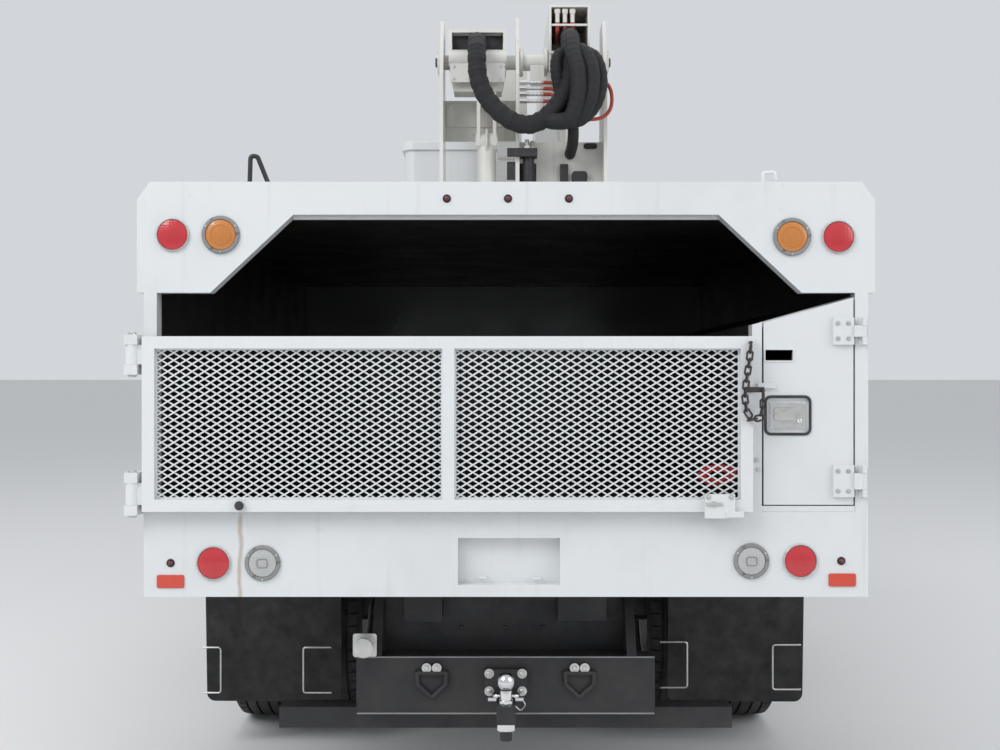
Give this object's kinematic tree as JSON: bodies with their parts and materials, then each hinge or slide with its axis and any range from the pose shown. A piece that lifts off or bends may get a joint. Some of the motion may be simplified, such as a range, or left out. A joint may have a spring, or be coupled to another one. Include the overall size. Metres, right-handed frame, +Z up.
{
  "type": "bucket truck with chip box",
  "caption": "White tree-care bucket truck seen from the rear: tipping chip box with a hinged mesh gate, side locker, turret with folding boom, and a white work bucket.",
  "frame": {"origin": "on the ground under the middle of the truck's overall length and width", "axes": "+X to the truck's right, +Y forward, +Z up"},
  "size_m": [2.58, 8.876, 3.95],
  "materials": {
    "body_white": "gloss",
    "frame_black": "satin",
    "boom_white": "gloss",
    "beam_grey": "satin",
    "bucket_white": "gloss",
    "cylinder_white": "gloss",
    "rod_chrome": "polished",
    "hose_sleeve": "matte",
    "tyre_rubber": "matte",
    "rim_white": "gloss",
    "gate_white": "gloss",
    "chain_steel": "satin",
    "lamp_red": "gloss",
    "lamp_clear": "gloss",
    "flap_rubber": "matte",
    "tank_metal": "brushed",
    "cab_glass": "clear",
    "seat_fabric": "matte",
    "engine_iron": "rough"
  },
  "bodies": {
    "chassis": {"frame_rails": "frame_black", "rear_hitch": "frame_black", "mud_flaps": "flap_rubber", "front_axle": "frame_black", "rear_axle": "frame_black", "fuel_tank": "tank_metal", "battery_box": "tank_metal", "front_bumper": "frame_black", "cab_floor": "body_white", "cab_cowl": "body_white", "cab_back_wall": "body_white", "cab_roof": "body_white", "cab_glass": "cab_glass", "cab_seats": "seat_fabric", "cab_side_left": "body_white", "cab_side_right": "body_white", "engine_block": "engine_iron", "pedestal": "boom_white"},
    "chip_box": {"box_floor": "body_white", "box_front_wall": "body_white", "box_roof": "body_white", "box_side_left": "body_white", "box_side_right": "body_white", "rear_frame": "body_white", "side_locker": "body_white", "rear_lamps": "lamp_red"},
    "gate": {"gate_frame": "gate_white", "gate_mesh": "gate_white", "gate_chain": "chain_steel"},
    "locker_door": {"locker_door": "body_white"},
    "cab_door_left": {"cab_door_left": "body_white"},
    "cab_door_right": {"cab_door_right": "body_white"},
    "hood": {"hood_shell": "body_white", "headlamps": "lamp_clear"},
    "knuckle_left": {"knuckle_left": "frame_black"},
    "knuckle_right": {"knuckle_right": "frame_black"},
    "wheel_front_left": {"tyre_front_left": "tyre_rubber", "rim_front_left": "rim_white"},
    "wheel_front_right": {"tyre_front_right": "tyre_rubber", "rim_front_right": "rim_white"},
    "wheels_rear_left": {"tyres_rear_left": "tyre_rubber", "rims_rear_left": "rim_white"},
    "wheels_rear_right": {"tyres_rear_right": "tyre_rubber", "rims_rear_right": "rim_white"},
    "turret": {"turret_frame": "boom_white", "hose_box": "beam_grey", "hose_bundle": "hose_sleeve", "beam_stay": "boom_white", "swivel_post": "frame_black"},
    "lower_boom": {"lower_boom": "boom_white"},
    "elbow_link": {"elbow_link": "boom_white"},
    "upper_boom": {"upper_boom": "boom_white"},
    "bucket": {"bucket": "bucket_white"},
    "lift_cylinder": {"lift_cylinder": "cylinder_white"},
    "lift_rod": {"lift_rod": "rod_chrome"},
    "hoist_cylinder": {"hoist_cylinder": "cylinder_white"},
    "hoist_rod": {"hoist_rod": "rod_chrome"}
  },
  "joints": [
    {"name": "steer_left", "type": "hinge", "parent": "chassis", "child": "knuckle_left", "pos_m": [-0.79, 2.815, 0.505], "axis": [0, 0, 1], "range_deg": [-35, 35]},
    {"name": "steer_right", "type": "hinge", "parent": "chassis", "child": "knuckle_right", "pos_m": [0.79, 2.815, 0.505], "axis": [0, 0, 1], "range_deg": [-35, 35]},
    {"name": "roll_front_left", "type": "hinge", "parent": "knuckle_left", "child": "wheel_front_left", "pos_m": [-1.012, 2.815, 0.505], "axis": [1, 0, 0], "continuous": true},
    {"name": "roll_front_right", "type": "hinge", "parent": "knuckle_right", "child": "wheel_front_right", "pos_m": [1.012, 2.815, 0.505], "axis": [1, 0, 0], "continuous": true},
    {"name": "roll_rear_left", "type": "hinge", "parent": "chassis", "child": "wheels_rear_left", "pos_m": [-0.927, -2.615, 0.505], "axis": [1, 0, 0], "continuous": true},
    {"name": "roll_rear_right", "type": "hinge", "parent": "chassis", "child": "wheels_rear_right", "pos_m": [0.927, -2.615, 0.505], "axis": [1, 0, 0], "continuous": true},
    {"name": "box_tip", "type": "hinge", "parent": "chassis", "child": "chip_box", "pos_m": [0, -4.115, 1], "axis": [1, 0, 0], "range_deg": [0, 45]},
    {"name": "gate_swing", "type": "hinge", "parent": "chip_box", "child": "gate", "pos_m": [-1.25, -4.393, 1.436], "axis": [0, 0, -1], "range_deg": [0, 180]},
    {"name": "locker_door_swing", "type": "hinge", "parent": "chip_box", "child": "locker_door", "pos_m": [1.204, -4.381, 1.5], "axis": [0, 0, 1], "range_deg": [0, 110]},
    {"name": "cab_door_left_swing", "type": "hinge", "parent": "chassis", "child": "cab_door_left", "pos_m": [-1.02, 2.335, 1.6], "axis": [0, 0, -1], "range_deg": [0, 65]},
    {"name": "cab_door_right_swing", "type": "hinge", "parent": "chassis", "child": "cab_door_right", "pos_m": [1.02, 2.335, 1.6], "axis": [0, 0, 1], "range_deg": [0, 65]},
    {"name": "hood_tilt", "type": "hinge", "parent": "chassis", "child": "hood", "pos_m": [0, 3.601, 0.775], "axis": [-1, 0, 0], "range_deg": [0, 60]},
    {"name": "turret_slew", "type": "hinge", "parent": "chassis", "child": "turret", "pos_m": [0.137, -0.475, 2.21], "axis": [0, 0, 1], "continuous": true},
    {"name": "lower_boom_lift", "type": "hinge", "parent": "turret", "child": "lower_boom", "pos_m": [0.421, -0.535, 3.61], "axis": [1, 0, 0], "range_deg": [0, 75], "deforming": ["hose_bundle"]},
    {"name": "elbow_level", "type": "hinge", "parent": "lower_boom", "child": "elbow_link", "pos_m": [0.235, 4.275, 3.7], "axis": [1, 0, 0], "range_deg": [-75, 0]},
    {"name": "upper_boom_fold", "type": "hinge", "parent": "elbow_link", "child": "upper_boom", "pos_m": [0.055, 4.275, 3.7], "axis": [-1, 0, 0], "range_deg": [0, 170]},
    {"name": "bucket_level", "type": "hinge", "parent": "upper_boom", "child": "bucket", "pos_m": [-0.1, 0.295, 3.5], "axis": [-1, 0, 0], "range_deg": [-170, 0]},
    {"name": "lift_cylinder_pivot", "type": "hinge", "parent": "turret", "child": "lift_cylinder", "pos_m": [0.421, -0.325, 2.75], "axis": [1, 0, 0], "range_deg": [0, 33]},
    {"name": "lift_rod_slide", "type": "slide", "parent": "lift_cylinder", "child": "lift_rod", "axis": [0, 0.6034, 0.7974], "range_m": [0, 0.7]},
    {"name": "hoist_cylinder_pivot", "type": "hinge", "parent": "chassis", "child": "hoist_cylinder", "pos_m": [0, -3.565, 0.81], "axis": [1, 0, 0], "range_deg": [0, 53.5]},
    {"name": "hoist_rod_slide", "type": "slide", "parent": "hoist_cylinder", "child": "hoist_rod", "axis": [0, 0.9969, 0.0787], "range_m": [0, 0.3]}
  ],
  "couplings": [
    {"joint": "steer_right", "follows": "steer_left", "ratio": 1},
    {"joint": "elbow_level", "follows": "lower_boom_lift", "ratio": -1},
    {"joint": "bucket_level", "follows": "upper_boom_fold", "ratio": -1},
    {"joint": "lift_cylinder_pivot", "follows": "lower_boom_lift", "ratio": 0.43203},
    {"joint": "lift_rod_slide", "follows": "lower_boom_lift", "m_per_rad": 0.52821},
    {"joint": "hoist_cylinder_pivot", "follows": "box_tip", "ratio": 1.1756},
    {"joint": "hoist_rod_slide", "follows": "box_tip", "m_per_rad": 0.37749}
  ]
}
